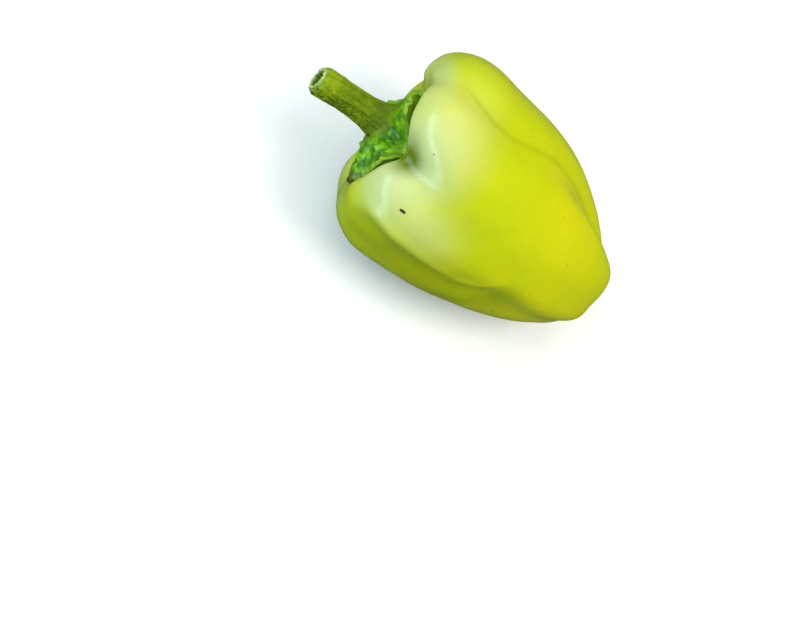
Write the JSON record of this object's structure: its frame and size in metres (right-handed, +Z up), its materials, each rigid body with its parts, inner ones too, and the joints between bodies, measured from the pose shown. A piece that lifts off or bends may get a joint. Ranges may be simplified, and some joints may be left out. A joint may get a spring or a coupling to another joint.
{
  "type": "bell pepper",
  "caption": "Lime-green bell pepper lying on its side, lobed and tapered, with a green calyx and a cut ribbed stem.",
  "frame": {"origin": "middle of the footprint, on the surface that the fruit lies on", "axes": "+X towards the blossom end, along the core as seen from above, +Z up, stem towards -X"},
  "size_m": [0.1288, 0.0748, 0.0758],
  "materials": {
    "skin": "waxy gloss",
    "calyx": "satin",
    "stem": "satin",
    "dried_style": "matt"
  },
  "bodies": {
    "root": {"fruit_body": "skin", "calyx": "calyx", "stem": "stem", "style_stub": "dried_style"}
  },
  "joints": []
}
